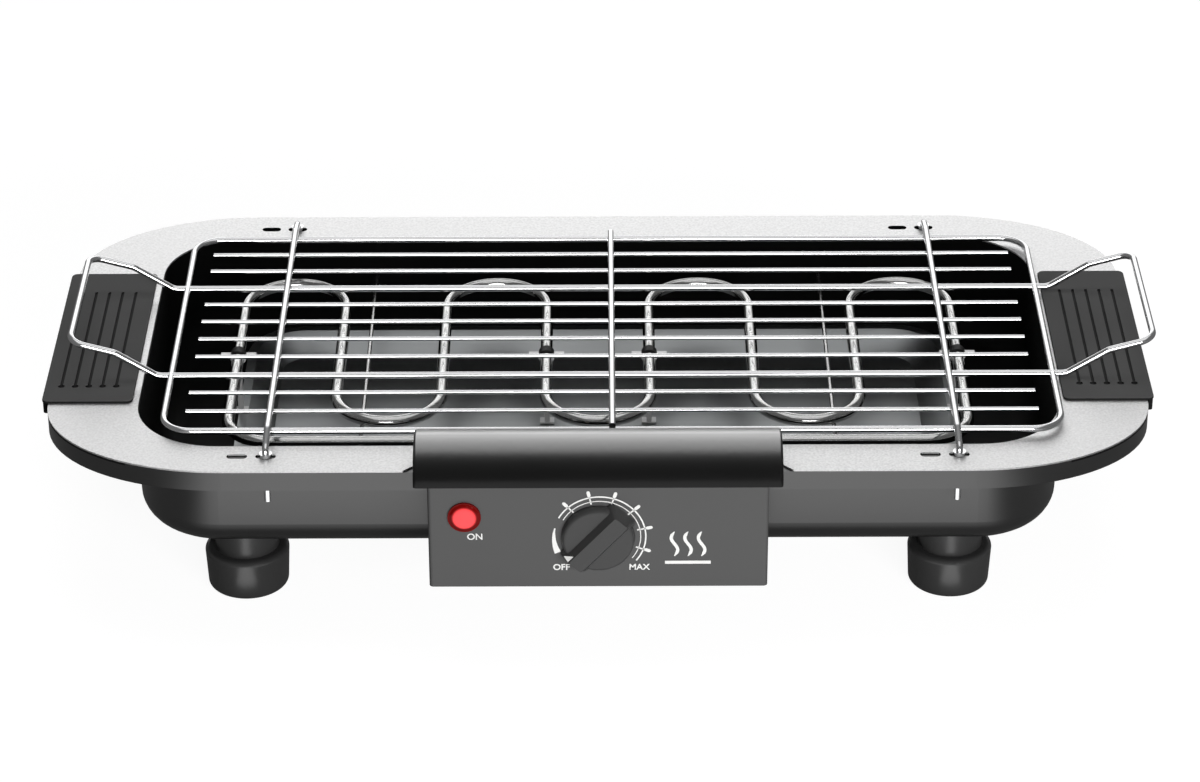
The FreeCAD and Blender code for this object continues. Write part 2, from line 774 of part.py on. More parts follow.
def hood_section(inset, low_z):
    """Face across the hood: a straight edge each side and a crest between two quarter curves."""
    edge_z = low_z + hood_edge_height
    crest_z = hood_crest_z - inset
    front_y = hood_front_y + inset
    back_y = hood_back_y - inset

    def quarter(side_y):
        reach = (side_y - hood_crest_y) * bezier_round_share
        rise = (crest_z - edge_z) * bezier_round_share
        curve = Part.BezierCurve()
        curve.setPoles([Vec(0, side_y, edge_z), Vec(0, side_y, edge_z + rise),
                        Vec(0, hood_crest_y + reach, crest_z), Vec(0, hood_crest_y, crest_z)])
        return curve.toShape()

    runs = [(Vec(0, front_y, low_z), Vec(0, front_y, edge_z)),
            (Vec(0, back_y, edge_z), Vec(0, back_y, low_z)),
            (Vec(0, back_y, low_z), Vec(0, front_y, low_z))]
    edges = [Part.LineSegment(start, end).toShape() for start, end in runs]
    edges += [quarter(front_y), quarter(back_y)]
    return Part.Face(Part.Wire(Part.__sortEdges__(edges)))


def control_hood():
    def bar(inset, low_z):
        half = hood_half_width - inset
        solid = hood_section(inset, low_z).extrude(Vec(2 * half, 0, 0))
        return solid.translated(Vec(-half, 0, 0))

    outer = bar(0, hood_under_z)
    rims = edges_where(outer, lambda box: box.XMax - box.XMin < join_tolerance
                       and box.ZMax > hood_under_z + join_tolerance)
    outer = outer.makeFillet(hood_end_round, rims)
    window_half = box_half_width - box_wall - hood_window_inset
    window = block(-window_half, window_half, box_front_in_y + hood_window_inset,
                   box_back_in_y - hood_window_inset, hood_under_z - overrun,
                   hood_under_z + hood_wall)
    return without(outer, [bar(hood_wall, hood_under_z + hood_wall), window])


def hanger_hooks():
    web_low = flange_top_z + seat_clearance
    web_high = web_low + hook_sheet
    lip_front = -tub_inner_half_depth + hook_gap_inside
    lip_back = lip_front + hook_sheet
    hooks = []
    for side in (-1, 1):
        low_x = side * hook_x - hook_width / 2
        high_x = side * hook_x + hook_width / 2
        leg = block(low_x, high_x, box_back_y, box_back_y + hook_sheet,
                    web_high - hook_leg, web_high)
        web = block(low_x, high_x, box_back_y, lip_back, web_low, web_high)
        lip = block(low_x, high_x, lip_front, lip_back, web_high - hook_drop, web_high)
        hooks.append(merged([leg, web, lip]))
    return Part.makeCompound(hooks)


def element_ferrules():
    bushes = []
    for x in (-lead_x, lead_x):
        tail = stem(ferrule_radius, x, element_z, box_back_in_y - ferrule_tail, box_back_y)
        rim = stem(ferrule_flange_radius, x, element_z, box_back_y, box_back_y + ferrule_flange)
        bore = stem(sheath_radius + running_clearance, x, element_z,
                    box_back_in_y - ferrule_tail - overrun, box_back_y + ferrule_flange + overrun)
        bushes.append(without(merged([tail, rim]), [bore]))
    return Part.makeCompound(bushes)


def thermostat_body():
    case = rounded_slab(thermostat_half_width, thermostat_half_height, thermostat_round,
                        0, thermostat_depth)
    case.rotate(Vec(0, 0, 0), Vec(1, 0, 0), quarter_turn)
    case.translate(Vec(0, thermostat_back_y, knob_z))
    tools = [stem(shaft_radius + running_clearance, 0, knob_z, box_front_in_y - overrun,
                  box_front_in_y + shaft_in_thermostat + seat_clearance)]
    for x in (-thermostat_screw_x, thermostat_screw_x):
        tools.append(stem(thermostat_screw_radius + running_clearance, x, knob_z,
                          box_front_in_y - overrun, box_face_y + thermostat_screw_length))
    return without(case, tools)


def thermostat_screws():
    screws = []
    for x in (-thermostat_screw_x, thermostat_screw_x):
        head = stem(thermostat_screw_head_radius, x, knob_z,
                    box_face_y - thermostat_screw_head_height, box_face_y)
        shank = stem(thermostat_screw_radius, x, knob_z, box_face_y,
                     box_face_y + thermostat_screw_length - running_clearance)
        screws.append(merged([head, shank]))
    return Part.makeCompound(screws)


def shaft_form(radius, flat, low_y, high_y):
    """Round bar along Y with a flat on the side away from the pointer."""
    bar = stem(radius, 0, knob_z, low_y, high_y)
    level = knob_z + radius - flat
    return without(bar, [block(-radius, radius, low_y - overrun, high_y + overrun,
                               level, level + radius)])


def thermostat_shaft():
    knob_back_y = box_face_y - knob_gap
    return shaft_form(shaft_radius, shaft_flat, knob_back_y - shaft_in_knob,
                      box_front_in_y + shaft_in_thermostat)


def thermostat_knob():
    """Disc with a raised grip bar, pointing at the off mark."""
    back_y = box_face_y - knob_gap
    disc = Part.makeCone(knob_radius, knob_radius - knob_draft, knob_disc_height,
                         Vec(0, back_y, knob_z), Vec(0, -1, 0))
    disc_front = back_y - knob_disc_height
    rim = edges_where(disc, lambda box: box.YMax < disc_front + join_tolerance)
    disc = disc.makeFillet(knob_disc_round, rim)
    bar_middle = (knob_bar_point - knob_bar_tail) / 2
    bar_half = (knob_bar_point + knob_bar_tail) / 2
    bar_foot = rounded_outline(bar_half + knob_bar_end_flare, knob_bar_half_width + knob_bar_flare,
                               knob_bar_foot_round, 0)
    bar_top = rounded_outline(bar_half, knob_bar_half_width, knob_bar_round,
                              knob_disc_height + knob_bar_height)
    bar = Part.makeLoft([bar_foot, bar_top], True, True)
    bar.rotate(Vec(0, 0, 0), Vec(1, 0, 0), quarter_turn)
    bar.translate(Vec(bar_middle, back_y, knob_z))
    bar.rotate(Vec(0, back_y, knob_z), Vec(0, 1, 0), -knob_off_angle)
    hollow = stem(knob_hollow_radius, 0, knob_z, back_y - knob_hollow_depth, back_y + overrun)
    hub = stem(knob_hub_radius, 0, knob_z, back_y - knob_hollow_depth, back_y)
    bore = shaft_form(shaft_radius + running_clearance, shaft_flat,
                      back_y - shaft_in_knob - running_clearance, back_y + overrun)
    knob = without(merged([disc, bar]), [hollow])
    return without(merged([knob, hub]), [bore])


def indicator_lens():
    """Dome on a bezel, with a stem through the face."""
    bezel_y = box_face_y - lens_bezel_height
    ball_radius = (lens_radius ** 2 + lens_rise ** 2) / (2 * lens_rise)
    ball = Part.makeSphere(ball_radius, Vec(lamp_x, bezel_y - lens_rise + ball_radius, lamp_z))
    front_only = stem(lens_radius, lamp_x, lamp_z, bezel_y - lens_rise - overrun, bezel_y)
    dome = ball.common(front_only)
    bezel = stem(lens_bezel_radius, lamp_x, lamp_z, bezel_y, box_face_y)
    tail = stem(lamp_stem_radius, lamp_x, lamp_z, box_face_y, box_front_in_y)
    return merged([dome, bezel, tail])


def indicator_body():
    collar_y = box_front_in_y + lamp_collar_length
    collar = stem(lamp_collar_radius, lamp_x, lamp_z, box_front_in_y, collar_y)
    can = stem(lamp_body_radius, lamp_x, lamp_z, collar_y, lamp_back_y)
    return merged([collar, can])


def safety_switch():
    front_y = box_back_in_y - switch_depth
    case = block(switch_x - switch_half_width, switch_x + switch_half_width, front_y, box_back_in_y,
                 plunger_z - switch_half_height, plunger_z + switch_half_height)
    room = plunger_tail + seat_clearance
    bore = stem(plunger_radius + running_clearance, switch_x, plunger_z, box_back_in_y - room,
                box_back_in_y + overrun)
    pocket = stem(plunger_head_radius + running_clearance, switch_x, plunger_z,
                  box_back_in_y - room, box_back_in_y - running_clearance)
    return without(case, [bore, pocket])


def safety_plunger():
    """Held in by the tub wall while the box hangs in place."""
    tip_y = -tub_half_depth - seat_clearance
    tail_y = box_back_in_y - plunger_tail
    rod = stem(plunger_radius, switch_x, plunger_z, tail_y, tip_y)
    head = stem(plunger_head_radius, switch_x, plunger_z, tail_y, tail_y + plunger_head_length)
    return merged([rod, head])


def terminal_block():
    body = block(block_x - block_half_width, block_x + block_half_width, block_front_y, block_back_y,
                 box_floor_z, box_floor_z + block_height)
    way_pitch = 2 * block_half_width / block_way_count
    middle_y = block_front_y + way_pitch / 2
    tools = []
    for index in range(block_way_count):
        x = block_x - block_half_width + (index + 0.5) * way_pitch
        tools.append(post(block_way_radius, x, middle_y, box_floor_z + block_height - block_way_depth,
                          box_floor_z + block_height + overrun))
    return without(body, tools)


def cord_gland():
    bush = post(gland_radius, gland_x, gland_y, box_bottom_z, box_floor_z + gland_tail)
    rim = post(gland_flange_radius, gland_x, gland_y, box_bottom_z - gland_flange, box_bottom_z)
    bore = post(gland_bore_radius, gland_x, gland_y, box_bottom_z - gland_flange - overrun,
                box_floor_z + gland_tail + overrun)
    return without(merged([bush, rim]), [bore])


def hookup_wire(points):
    corners = [hookup_bend] * (len(points) - 2)
    return bent_rod([Vec(*point) for point in points], corners, hookup_radius)


def internal_wires():
    """Six insulated wires between the block, the switch, the thermostat, the pins and the lamp."""
    block_top = box_floor_z + block_height
    back_run = box_back_in_y - hookup_back_gap
    front_run = pin_end_y - hookup_pin_gap
    switch_low = plunger_z - switch_half_height
    switch_left = switch_x - switch_half_width
    supply_x = block_x + supply_way
    mid_z = box_floor_z + hookup_mid
    low_z = box_floor_z + hookup_low
    high_z = hood_under_z - hookup_high
    beside_pin = lead_x + hookup_side
    way_y = block_back_y - 2 * hookup_radius
    drop_z = knob_z + thermostat_lead_drop
    wires = [
        hookup_wire([(supply_x, way_y, block_top), (supply_x, way_y, mid_z),
                     (supply_x, back_run, mid_z), (switch_x, back_run, mid_z),
                     (switch_x, back_run, switch_low)]),
        hookup_wire([(switch_left, back_run, high_z), (beside_pin, back_run, high_z),
                     (beside_pin, front_run, high_z), (beside_pin, front_run, knob_z),
                     (thermostat_half_width, front_run, knob_z)]),
        hookup_wire([(-thermostat_half_width, front_run, drop_z), (-lead_x, front_run, drop_z),
                     (-lead_x, front_run, element_z), (-lead_x, pin_end_y, element_z)]),
        hookup_wire([(lead_x, pin_end_y, element_z), (lead_x, front_run, element_z),
                     (lead_x, front_run, low_z), (block_x + block_half_width, front_run, low_z)]),
    ]
    for side, step, way in zip((1, -1), lamp_lead_steps, lamp_lead_ways):
        x = lamp_x + side * lamp_lead_half_spacing
        turn_z = lamp_z - step
        way_x = block_x + way
        wires.append(hookup_wire([(x, lamp_back_y, lamp_z), (x, way_y, lamp_z), (x, way_y, turn_z),
                                  (way_x, way_y, turn_z), (way_x, way_y, block_top)]))
    return Part.makeCompound(wires)


def grid_frame():
    corners = [Vec(grid_x + grid_half_length, grid_half_depth, frame_wire_z),
               Vec(grid_x - grid_half_length, grid_half_depth, frame_wire_z),
               Vec(grid_x - grid_half_length, -grid_half_depth, frame_wire_z),
               Vec(grid_x + grid_half_length, -grid_half_depth, frame_wire_z)]
    return ring_rod(corners, [grid_corner_radius] * len(corners), wire_radius)


def grid_handle(frame):
    """Right-hand bail, coped to the frame's side wire; the left one is its mirror image."""
    knee_x = handle_start + handle_knee_out
    end_x = knee_x + handle_end_out
    knee_z = frame_wire_z + handle_knee_rise
    end_z = knee_z + handle_end_rise
    half = [(grid_half_length, frame_wire_z), (handle_start, frame_wire_z),
            (knee_x, knee_z), (end_x, end_z)]
    points = [Vec(grid_x + x, -thick_rod_y, z) for x, z in half]
    points += [Vec(grid_x + x, thick_rod_y, z) for x, z in reversed(half)]
    radii = [handle_knee_radius, handle_knee_radius, handle_corner_radius]
    return without(bent_rod(points, radii + radii[::-1], wire_radius), [frame])


def grid_rod(radius, half_length, y, z):
    return Part.makeCylinder(radius, 2 * half_length, Vec(grid_x - half_length, y, z), Vec(1, 0, 0))


def grid_side_bar(side):
    """Cross bar whose ends dip and turn down through the plate, with collars that stand on it."""
    x = grid_x + side * slot_pair_half_spacing
    tip_z = plate_top_z - leg_drop
    end_z = plate_top_z + bar_end_rise
    knee_y = grid_half_depth + wire_radius + bar_knee_out
    half = [Vec(x, -slot_y, tip_z), Vec(x, -slot_y, end_z), Vec(x, -knee_y, cross_bar_z)]
    other = [Vec(point.x, -point.y, point.z) for point in reversed(half)]
    radii = [leg_bend_radius, bar_knee_radius, bar_knee_radius, leg_bend_radius]
    bar = bent_rod(half + other, radii, wire_radius)
    collar_z = plate_top_z + seat_clearance
    collars = [post(leg_collar_radius, x, y, collar_z, collar_z + leg_collar_height)
               for y in (-slot_y, slot_y)]
    return merged([bar] + collars)


def grid_middle_bar():
    half = grid_half_depth + wire_radius
    return Part.makeCylinder(wire_radius, 2 * half, Vec(grid_x, -half, cross_bar_z), Vec(0, 1, 0))


def grid_nodes():
    frame = grid_frame()
    right = grid_handle(frame)
    nodes = {
        "grid_frame": frame,
        "grid_handle_right": right,
        "grid_handle_left": mirrored_x(right, grid_x),
        "grid_cross_bar_left": grid_side_bar(-1),
        "grid_cross_bar_middle": grid_middle_bar(),
        "grid_cross_bar_right": grid_side_bar(1),
    }
    for name, side in (("front", -1), ("back", 1)):
        rod = grid_rod(wire_radius, grid_half_length, side * thick_rod_y, frame_wire_z)
        nodes["grid_thick_rod_" + name] = without(rod, [frame])
    for index, step in enumerate(thin_rod_steps, start=1):
        nodes["grid_thin_rod_%d" % index] = grid_rod(thin_rod_radius, thin_rod_half_length,
                                                     step * rod_pitch, thin_rod_z)
    return nodes


def all_nodes():
    pad = handle_pad()
    nodes = {
        "body_shell": body_shell(),
        "top_plate": top_plate(),
        "right_handle_pad": pad,
        "left_handle_pad": mirrored_x(pad),
        "handle_pad_screws": handle_pad_screws(),
        "foot_screws": foot_screws(),
        "reflector_tray": reflector_tray(),
        "support_wire_left": support_wire(-1),
        "support_wire_right": support_wire(1),
        "heating_element": heating_element(),
        "element_pins": element_pins(),
        "element_supports": element_supports(),
        "element_ferrules": element_ferrules(),
        "control_box_shell": control_box_shell(),
        "control_box_back": control_box_back(),
        "control_hood": control_hood(),
        "box_screws": box_screws(),
        "hanger_hooks": hanger_hooks(),
        "thermostat_body": thermostat_body(),
        "thermostat_screws": thermostat_screws(),
        "thermostat_shaft": thermostat_shaft(),
        "thermostat_knob": thermostat_knob(),
        "indicator_lens": indicator_lens(),
        "indicator_body": indicator_body(),
        "safety_switch": safety_switch(),
        "safety_plunger": safety_plunger(),
        "terminal_block": terminal_block(),
        "cord_gland": cord_gland(),
        "internal_wires": internal_wires(),
    }
    feet = ("foot_front_left", "foot_front_right", "foot_back_left", "foot_back_right")
    for name, place in zip(feet, foot_places()):
        nodes[name] = foot(*place)
    nodes.update(grid_nodes())
    return nodes


def main():
    os.makedirs("parts", exist_ok=True)
    nodes = all_nodes()
    box = FreeCAD.BoundBox()
    for shape in nodes.values():
        box.add(shape.optimalBoundingBox(False, False))
    shift = Vec(-(box.XMin + box.XMax) / 2, -(box.YMin + box.YMax) / 2, -box.ZMin)
    for name, shape in nodes.items():
        moved = shape.translated(shift)
        solids = moved.Solids
        valid = all(solid.isValid() for solid in solids)
        print("%-24s solids %d valid %s volume %.1f" % (name, len(solids), valid, moved.Volume))
        moved.exportStep("parts/%s.step" % name)
    print("moved by %.4f %.4f %.4f" % (shift.x, shift.y, shift.z))
    print("overall %.2f x %.2f x %.2f" % (box.XLength, box.YLength, box.ZLength))


main()
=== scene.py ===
import math

import bmesh
import bpy
from mathutils import Matrix, Vector


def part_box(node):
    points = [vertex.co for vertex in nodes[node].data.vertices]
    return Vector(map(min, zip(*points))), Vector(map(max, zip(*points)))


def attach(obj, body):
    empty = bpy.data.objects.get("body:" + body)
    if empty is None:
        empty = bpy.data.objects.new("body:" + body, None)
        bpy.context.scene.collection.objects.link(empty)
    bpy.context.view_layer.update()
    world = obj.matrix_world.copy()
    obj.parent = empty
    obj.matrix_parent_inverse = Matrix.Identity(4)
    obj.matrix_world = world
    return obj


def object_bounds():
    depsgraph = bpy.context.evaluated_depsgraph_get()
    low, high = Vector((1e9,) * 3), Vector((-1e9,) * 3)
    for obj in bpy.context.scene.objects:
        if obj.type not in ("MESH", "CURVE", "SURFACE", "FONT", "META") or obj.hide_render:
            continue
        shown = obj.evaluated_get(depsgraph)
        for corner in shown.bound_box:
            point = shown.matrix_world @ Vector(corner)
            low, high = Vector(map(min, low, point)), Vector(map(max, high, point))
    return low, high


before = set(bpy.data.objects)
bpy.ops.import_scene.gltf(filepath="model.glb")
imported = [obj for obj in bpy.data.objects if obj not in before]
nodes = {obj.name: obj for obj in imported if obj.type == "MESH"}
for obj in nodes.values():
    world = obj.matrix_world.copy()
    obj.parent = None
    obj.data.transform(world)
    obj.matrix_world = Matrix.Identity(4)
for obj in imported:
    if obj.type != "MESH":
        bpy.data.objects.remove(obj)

scene = bpy.context.scene
cadLow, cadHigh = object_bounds()
mm = 0.001  # the frame is in metres, sizes below are in millimetres
print("frame loaded with", len(nodes), "pieces")


def linear(hexColour):
    channels = [int(hexColour[i:i + 2], 16) / 255 for i in (1, 3, 5)]
    return [c / 12.92 if c <= 0.04045 else ((c + 0.055) / 1.055) ** 2.4 for c in channels] + [1.0]


def perMetre(size):
    return 1 / (size * mm)  # texture scale that repeats about every size


def addNode(tree, kind, settings=None, links=None):
    node = tree.nodes.new(kind)
    for name, value in (settings or {}).items():
        if isinstance(name, int) or name in node.inputs:
            node.inputs[name].default_value = value
        else:
            setattr(node, name, value)
    for name, source in (links or {}).items():
        tree.links.new(source, node.inputs[name])
    return node


def startFinish(name):
    finish = bpy.data.materials.new(name)
    finish.use_nodes = True
    finish.node_tree.nodes.clear()
    return finish, finish.node_tree


def mouldedPlastic(name, look):
    # moulded surface: fine tool grain, a little unevenness in colour and gloss
    finish, tree = startFinish(name)
    place = addNode(tree, "ShaderNodeTexCoord").outputs["Object"]
    grain = addNode(tree, "ShaderNodeTexNoise",
                    {"Scale": perMetre(look["grainSize"]), "Detail": 3.0}, {"Vector": place})
    cloud = addNode(tree, "ShaderNodeTexNoise",
                    {"Scale": perMetre(look["cloudSize"]), "Detail": 2.0}, {"Vector": place})
    colour = addNode(tree, "ShaderNodeMix",
                     {"data_type": "RGBA", 6: linear(look["dark"]), 7: linear(look["light"])},
                     {0: cloud.outputs["Fac"]})
    # painted shade: the colour darkens in the grooves, below the ridge tops
    if "groove" in look:
        height = addNode(tree, "ShaderNodeSeparateXYZ", links={0: place}).outputs["Z"]
        shallow, deep = [look["grooveTop"] - depth * mm for depth in look["grooveDepths"]]
        sunk = addNode(tree, "ShaderNodeMapRange", {"From Min": shallow, "From Max": deep},
                       {"Value": height})
        colour = addNode(tree, "ShaderNodeMix", {"data_type": "RGBA", 7: linear(look["groove"])},
                         {0: sunk.outputs[0], 6: colour.outputs[2]})
    gloss = addNode(tree, "ShaderNodeMapRange",
                    {"To Min": look["roughness"][0], "To Max": look["roughness"][1]},
                    {"Value": cloud.outputs["Fac"]})
    bump = addNode(tree, "ShaderNodeBump",
                   {"Strength": look["grainDepth"], "Distance": look["grainHeight"] * mm},
                   {"Height": grain.outputs["Fac"]})
    shader = addNode(tree, "ShaderNodeBsdfPrincipled",
                     {"IOR": look["ior"], "Specular IOR Level": look.get("mirror", 0.5)},
                     {"Base Color": colour.outputs[2], "Roughness": gloss.outputs[0],
                      "Normal": bump.outputs[0]})
    addNode(tree, "ShaderNodeOutputMaterial", links={"Surface": shader.outputs[0]})
    return finish


def sootInSlots(tree, place, colour, look):
    # the punched slots lie in a row along each long side, and their cut edges are darkened as painted shade
    spot = addNode(tree, "ShaderNodeSeparateXYZ", links={0: place})
    middle, halfGap = look["slotRows"]
    offset = addNode(tree, "ShaderNodeMath", {"operation": "SUBTRACT", 1: middle},
                     {0: spot.outputs["Y"]})
    offset = addNode(tree, "ShaderNodeMath", {"operation": "ABSOLUTE"}, {0: offset.outputs[0]})
    inRow = addNode(tree, "ShaderNodeMath", {"operation": "COMPARE", 1: halfGap, 2: look["slotReach"] * mm},
                    {0: offset.outputs[0]})
    away = addNode(tree, "ShaderNodeMath", {"operation": "ABSOLUTE"}, {0: spot.outputs["X"]})
    inLine = addNode(tree, "ShaderNodeMath", {"operation": "LESS_THAN", 1: look["slotEnd"] * mm},
                     {0: away.outputs[0]})
    below = addNode(tree, "ShaderNodeMath", {"operation": "LESS_THAN", 1: look["slotTop"]},
                    {0: spot.outputs["Z"]})
    both = addNode(tree, "ShaderNodeMath", {"operation": "MULTIPLY"},
                   {0: inRow.outputs[0], 1: inLine.outputs[0]})
    cut = addNode(tree, "ShaderNodeMath", {"operation": "MULTIPLY"},
                  {0: both.outputs[0], 1: below.outputs[0]})
    return addNode(tree, "ShaderNodeMix", {"data_type": "RGBA", 7: linear(look["soot"])},
                   {0: cut.outputs[0], 6: colour.outputs[2]})


def workedMetal(name, look):
    # bare or plated metal: colour drifts slowly, work marks follow the stretch
    finish, tree = startFinish(name)
    place = addNode(tree, "ShaderNodeTexCoord").outputs["Object"]
    along = addNode(tree, "ShaderNodeMapping", {"Scale": look["stretch"]}, {"Vector": place})
    marks = addNode(tree, "ShaderNodeTexNoise",
                    {"Scale": perMetre(look["markSize"]), "Detail": 4.0},
                    {"Vector": along.outputs[0]})
    cloud = addNode(tree, "ShaderNodeTexNoise",
                    {"Scale": perMetre(look["cloudSize"]), "Detail": 2.0}, {"Vector": place})
    drift = cloud.outputs["Fac"]
    if "speckle" in look:  # the marks themselves show as lighter and darker specks
        drift = addNode(tree, "ShaderNodeMapRange",
                        {"From Min": look["speckle"][0], "From Max": look["speckle"][1]},
                        {"Value": marks.outputs["Fac"]}).outputs[0]
    colour = addNode(tree, "ShaderNodeMix",
                     {"data_type": "RGBA", 6: linear(look["dark"]), 7: linear(look["light"])},
                     {0: drift})
    # painted shade in the slots
    if "slotRows" in look:
        colour = sootInSlots(tree, place, colour, look)
    if "band" in look:  # darker on all that is higher than bandFrom
        height = addNode(tree, "ShaderNodeSeparateXYZ", links={0: place}).outputs["Z"]
        onBand = addNode(tree, "ShaderNodeMath", {"operation": "GREATER_THAN", 1: look["bandFrom"]},
                         {0: height})
        colour = addNode(tree, "ShaderNodeMix", {"data_type": "RGBA", 7: linear(look["band"])},
                         {0: onBand.outputs[0], 6: colour.outputs[2]})
    gloss = addNode(tree, "ShaderNodeMapRange",
                    {"To Min": look["roughness"][0], "To Max": look["roughness"][1]},
                    {"Value": marks.outputs["Fac"]})
    bump = addNode(tree, "ShaderNodeBump",
                   {"Strength": look["markDepth"], "Distance": look["markHeight"] * mm},
                   {"Height": marks.outputs["Fac"]})
    shader = addNode(tree, "ShaderNodeBsdfPrincipled", {"Metallic": look.get("metallic", 1.0)},
                     {"Base Color": colour.outputs[2], "Roughness": gloss.outputs[0],
                      "Normal": bump.outputs[0]})
    addNode(tree, "ShaderNodeOutputMaterial", links={"Surface": shader.outputs[0]})
    return finish


def dress(finish, *names):
    for name in names:
        for holder in nodes[name].material_slots:
            holder.material = finish


# stoving enamel, sprayed and baked on drawn steel: satin black with a faint orange peel outside,
# duller inside the tub, and darker there as painted shade
enamel = {
    "dark": "#171717", "light": "#1c1c1c",
    # the inside colours are painted shade, darker than the paint, inside the tub and under the slots
    "shadeDark": "#060606", "shadeLight": "#0c0c0c",
    "roughness": 0.28, "insideRoughness": 0.6, "mirror": 1.0, "insideMirror": 0.2,
    "cloudSize": 24.0, "peelSize": 2.4, "peelHeight": 0.05, "peelDepth": 0.12,
    "sheet": 1.1, "slotEdge": 1.5, "mouthDrop": 0.5, "ior": 1.52,
}


def barSpan():
    # middle and half length of a cross bar, whose legs mark the two rows of slots
    low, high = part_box("grid_cross_bar_left")
    return (low.y + high.y) / 2, (high.y - low.y) / 2


def bakedBlackEnamel():
    finish, tree = startFinish("bakedBlackEnamel")
    place = addNode(tree, "ShaderNodeTexCoord").outputs["Object"]
    low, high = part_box("body_shell")
    # the tub's inside faces point towards the middle of its mouth; they are dull and get painted shade
    mouth = ((low.x + high.x) / 2, (low.y + high.y) / 2, high.z - enamel["mouthDrop"] * mm)
    outward = addNode(tree, "ShaderNodeVectorMath", {"operation": "SUBTRACT", 1: mouth}, {0: place})
    facing = addNode(tree, "ShaderNodeVectorMath", {"operation": "DOT_PRODUCT"},
                     {0: outward.outputs[0],
                      1: addNode(tree, "ShaderNodeNewGeometry").outputs["Normal"]})
    inside = addNode(tree, "ShaderNodeMath", {"operation": "LESS_THAN", 1: 0.0},
                     {0: facing.outputs["Value"]})
    # the flange under the plate as far out as the slots, where its cut edges show, gets the same dullness
    # and painted shade
    spot = addNode(tree, "ShaderNodeSeparateXYZ", links={0: place})
    rowMiddle, rowHalf = barSpan()
    offset = addNode(tree, "ShaderNodeMath", {"operation": "SUBTRACT", 1: rowMiddle},
                     {0: spot.outputs["Y"]})
    offset = addNode(tree, "ShaderNodeMath", {"operation": "ABSOLUTE"}, {0: offset.outputs[0]})
    inReach = addNode(tree, "ShaderNodeMath",
                      {"operation": "LESS_THAN", 1: rowHalf + enamel["slotEdge"] * mm},
                      {0: offset.outputs[0]})
    inSheet = addNode(tree, "ShaderNodeMath",
                      {"operation": "GREATER_THAN", 1: high.z - enamel["sheet"] * mm},
                      {0: spot.outputs["Z"]})
    covered = addNode(tree, "ShaderNodeMath", {"operation": "MULTIPLY"},
                      {0: inReach.outputs[0], 1: inSheet.outputs[0]})
    inside = addNode(tree, "ShaderNodeMath", {"operation": "MAXIMUM"},
                     {0: inside.outputs[0], 1: covered.outputs[0]})
    cloud = addNode(tree, "ShaderNodeTexNoise",
                    {"Scale": perMetre(enamel["cloudSize"]), "Detail": 3.0}, {"Vector": place})
    paint = addNode(tree, "ShaderNodeMix",
                    {"data_type": "RGBA", 6: linear(enamel["dark"]), 7: linear(enamel["light"])},
                    {0: cloud.outputs["Fac"]})
    # painted shade: the inside colours, darker than the paint
    soot = addNode(tree, "ShaderNodeMix",
                   {"data_type": "RGBA", 6: linear(enamel["shadeDark"]),
                    7: linear(enamel["shadeLight"])},
                   {0: cloud.outputs["Fac"]})
    colour = addNode(tree, "ShaderNodeMix", {"data_type": "RGBA"},
                     {0: inside.outputs[0], 6: paint.outputs[2], 7: soot.outputs[2]})
    gloss = addNode(tree, "ShaderNodeMapRange",
                    {"To Min": enamel["roughness"], "To Max": enamel["insideRoughness"]},
                    {"Value": inside.outputs[0]})
    peel = addNode(tree, "ShaderNodeTexNoise",
                   {"Scale": perMetre(enamel["peelSize"]), "Detail": 2.0}, {"Vector": place})
    bump = addNode(tree, "ShaderNodeBump",
                   {"Strength": enamel["peelDepth"], "Distance": enamel["peelHeight"] * mm},
                   {"Height": peel.outputs["Fac"]})
    shine = addNode(tree, "ShaderNodeMapRange",
                    {"To Min": enamel["mirror"], "To Max": enamel["insideMirror"]},
                    {"Value": inside.outputs[0]})
    shader = addNode(tree, "ShaderNodeBsdfPrincipled", {"IOR": enamel["ior"]},
                     {"Base Color": colour.outputs[2], "Roughness": gloss.outputs[0],
                      "Specular IOR Level": shine.outputs[0], "Normal": bump.outputs[0]})
    addNode(tree, "ShaderNodeOutputMaterial", links={"Surface": shader.outputs[0]})
    return finish


dress(bakedBlackEnamel(), "body_shell")

# stainless sheet, sanded with fine grit: pale grey, no gloss, an even sparkle of scratches
# the grit is about 0.1 mm, drawn at 1.1 mm so that it shows
slotEdges = {"barRadius": 1.6, "topEdge": 0.1}  # the cross bars stand in the slots
barMiddle, barHalf = barSpan()
dress(workedMetal("sandedStainless", {
    # painted shade colour on the slots' cut edges below the top
    "slotRows": (barMiddle, barHalf - slotEdges["barRadius"] * mm), "slotReach": 3.0, "slotEnd": 190.0,
    "slotTop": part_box("top_plate")[1].z - slotEdges["topEdge"] * mm, "soot": "#060606",
    "dark": "#d2d2d2", "light": "#ececec", "cloudSize": 60.0, "speckle": (0.3, 0.7),
    "markSize": 1.1, "stretch": (1.0, 1.0, 1.0), "markHeight": 0.02, "markDepth": 0.35,
    "roughness": (0.52, 0.66),
}), "top_plate")

# aluminium sheet, bright rolled and pressed: a mirror with a faint grain along the roll
dress(workedMetal("rolledBrightAluminium", {
    "dark": "#a2a5a6", "light": "#b0b2b3", "cloudSize": 45.0,
    "markSize": 2.0, "stretch": (0.05, 1.0, 1.0), "markHeight": 0.02, "markDepth": 0.2,
    "roughness": (0.28, 0.38),
}), "reflector_tray")

# chrome plate on drawn steel wire: a clean mirror, a little uneven along the wire
dress(workedMetal("chromePlatedWire", {
    "dark": "#e2e3e4", "light": "#ececed", "cloudSize": 35.0,
    "markSize": 9.0, "stretch": (1.0, 1.0, 1.0), "markHeight": 0.01, "markDepth": 0.004,
    "roughness": (0.14, 0.17),
}), *[name for name in nodes if name.startswith("grid_")])

